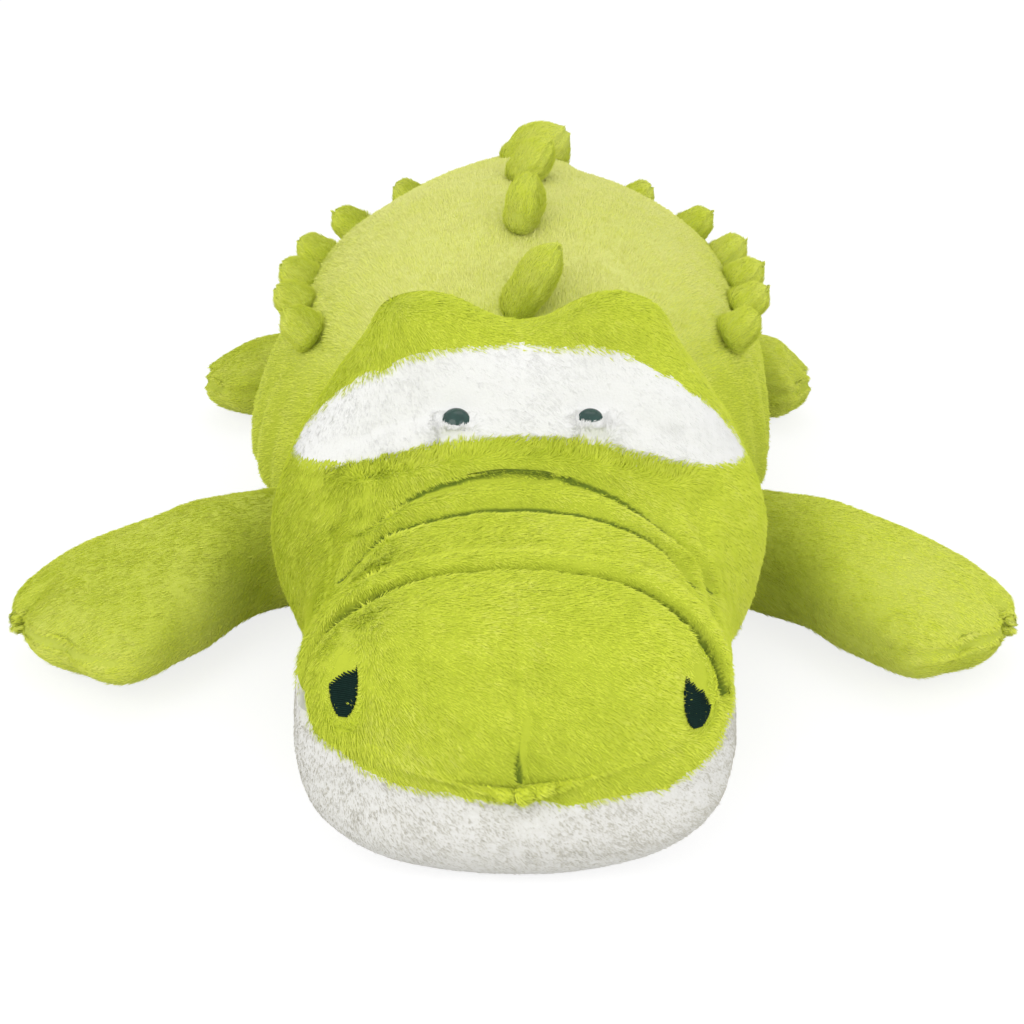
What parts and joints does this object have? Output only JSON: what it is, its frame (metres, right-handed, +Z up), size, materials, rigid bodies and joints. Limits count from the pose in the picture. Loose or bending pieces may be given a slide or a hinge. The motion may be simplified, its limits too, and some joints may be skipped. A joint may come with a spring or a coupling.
{
  "type": "plush crocodile",
  "caption": "Large plush crocodile lying on its belly, with a broad rounded muzzle, a white band round the eyes, splayed legs, soft spikes along the back and a short tapering tail.",
  "frame": {"origin": "on the floor under the middle of the toy's bounding box", "axes": "+Y from the muzzle towards the tail, +Z up, +X towards the toy's right as seen from the front"},
  "size_m": [0.667, 1.1, 0.2719],
  "materials": {
    "green_plush": "soft cut pile",
    "white_plush": "soft cut pile",
    "fibre_filling": "loose fibre",
    "dark_thread": "satin embroidery",
    "eye_plastic": "high gloss",
    "nylon_washer": "matte"
  },
  "bodies": {
    "torso": {"back_panel": "green_plush", "belly_panel": "green_plush", "torso_stuffing": "fibre_filling", "spine_spike_1": "green_plush", "spine_spike_2": "green_plush", "spine_spike_3": "green_plush", "spine_spike_4": "green_plush", "side_spike_left_1": "green_plush", "side_spike_left_2": "green_plush", "side_spike_left_3": "green_plush", "side_spike_left_4": "green_plush", "side_spike_left_5": "green_plush", "side_spike_left_6": "green_plush", "side_spike_right_1": "green_plush", "side_spike_right_2": "green_plush", "side_spike_right_3": "green_plush", "side_spike_right_4": "green_plush", "side_spike_right_5": "green_plush", "side_spike_right_6": "green_plush"},
    "head": {"crown_panel": "green_plush", "eye_band_panel": "white_plush", "snout_panel": "green_plush", "jaw_panel": "white_plush", "head_stuffing": "fibre_filling", "eye_left": "eye_plastic", "eye_right": "eye_plastic", "eye_washer_left": "nylon_washer", "eye_washer_right": "nylon_washer", "nostril_left": "dark_thread", "nostril_right": "dark_thread"},
    "front_leg_left": {"front_leg_left_top": "green_plush", "front_leg_left_sole": "green_plush", "front_leg_left_stuffing": "fibre_filling"},
    "front_leg_right": {"front_leg_right_top": "green_plush", "front_leg_right_sole": "green_plush", "front_leg_right_stuffing": "fibre_filling"},
    "hind_leg_left": {"hind_leg_left_top": "green_plush", "hind_leg_left_sole": "green_plush", "hind_leg_left_stuffing": "fibre_filling"},
    "hind_leg_right": {"hind_leg_right_top": "green_plush", "hind_leg_right_sole": "green_plush", "hind_leg_right_stuffing": "fibre_filling"},
    "tail": {"tail_top": "green_plush", "tail_sole": "green_plush", "tail_stuffing": "fibre_filling"}
  },
  "joints": [
    {"name": "head_nod", "type": "hinge", "parent": "torso", "child": "head", "pos_m": [0, -0.265, 0.1155], "axis": [-1, 0, 0], "range_deg": [0, 15], "stiffness_Nm_per_rad": 2},
    {"name": "front_leg_left_sweep", "type": "hinge", "parent": "torso", "child": "front_leg_left", "pos_m": [-0.16108, -0.1922, 0.0405], "axis": [0, 0, 1], "range_deg": [-20, 20], "stiffness_Nm_per_rad": 0.3},
    {"name": "front_leg_right_sweep", "type": "hinge", "parent": "torso", "child": "front_leg_right", "pos_m": [0.16108, -0.1922, 0.0405], "axis": [0, 0, -1], "range_deg": [-20, 20], "stiffness_Nm_per_rad": 0.3},
    {"name": "hind_leg_left_sweep", "type": "hinge", "parent": "torso", "child": "hind_leg_left", "pos_m": [-0.16966, 0.1552, 0.0355], "axis": [0, 0, 1], "range_deg": [-20, 8], "stiffness_Nm_per_rad": 0.2},
    {"name": "hind_leg_right_sweep", "type": "hinge", "parent": "torso", "child": "hind_leg_right", "pos_m": [0.16966, 0.1552, 0.0355], "axis": [0, 0, -1], "range_deg": [-20, 8], "stiffness_Nm_per_rad": 0.2},
    {"name": "tail_sweep", "type": "hinge", "parent": "torso", "child": "tail", "pos_m": [0, 0.364, 0.0675], "axis": [0, 0, 1], "range_deg": [-25, 25], "stiffness_Nm_per_rad": 0.5}
  ]
}
